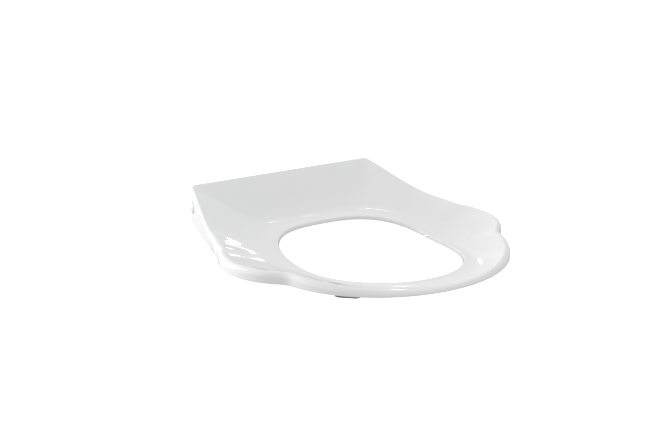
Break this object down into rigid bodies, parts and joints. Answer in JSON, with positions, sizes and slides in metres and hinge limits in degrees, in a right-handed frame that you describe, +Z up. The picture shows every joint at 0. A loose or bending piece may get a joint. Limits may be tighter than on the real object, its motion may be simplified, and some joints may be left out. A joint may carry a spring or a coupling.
{
  "type": "child toilet seat ring",
  "caption": "White moulded seat ring for a low children's toilet pan, with side hand-hold lobes, grey underside buffers and a top-fixing hinge that lets it lift up.",
  "frame": {"origin": "on the pan's top face, midway between the two hinge fixing holes", "axes": "+Z up from the pan, -Y towards the front of the seat, +X to the right as seen from behind the hinge looking along +Y; the hinge axis is along X"},
  "size_m": [0.3488, 0.3564, 0.0706],
  "materials": {
    "gloss_white_plastic": "high gloss, slightly rippled by moulding",
    "light_grey_plastic": "satin",
    "grey_elastomer": "matt",
    "stainless_steel": "fine turned finish",
    "nylon": "satin",
    "brass": "plain machined"
  },
  "bodies": {
    "root": {"gasket_left": "grey_elastomer", "hinge_base_left": "stainless_steel", "hinge_post_left": "stainless_steel", "grub_screw_left": "stainless_steel", "fixing_screw_left": "stainless_steel", "expansion_plug_left": "grey_elastomer", "plug_nut_left": "brass", "rod_bush_left_a": "nylon", "rod_bush_left_b": "nylon", "gasket_right": "grey_elastomer", "hinge_base_right": "stainless_steel", "hinge_post_right": "stainless_steel", "grub_screw_right": "stainless_steel", "fixing_screw_right": "stainless_steel", "expansion_plug_right": "grey_elastomer", "plug_nut_right": "brass", "rod_bush_right_a": "nylon", "rod_bush_right_b": "nylon"},
    "seat": {"seat_ring": "gloss_white_plastic", "hinge_rod": "stainless_steel", "rod_cap_left": "light_grey_plastic", "rod_cap_right": "light_grey_plastic", "buffer_front_left": "grey_elastomer", "buffer_screw_front_left": "stainless_steel", "buffer_front_right": "grey_elastomer", "buffer_screw_front_right": "stainless_steel", "buffer_rear_left": "grey_elastomer", "buffer_screw_rear_left": "stainless_steel", "buffer_rear_right": "grey_elastomer", "buffer_screw_rear_right": "stainless_steel"}
  },
  "joints": [
    {"name": "seat_hinge", "type": "hinge", "parent": "root", "child": "seat", "pos_m": [0, 0, 0.033], "axis": [-1, 0, 0], "range_deg": [0, 100]}
  ]
}
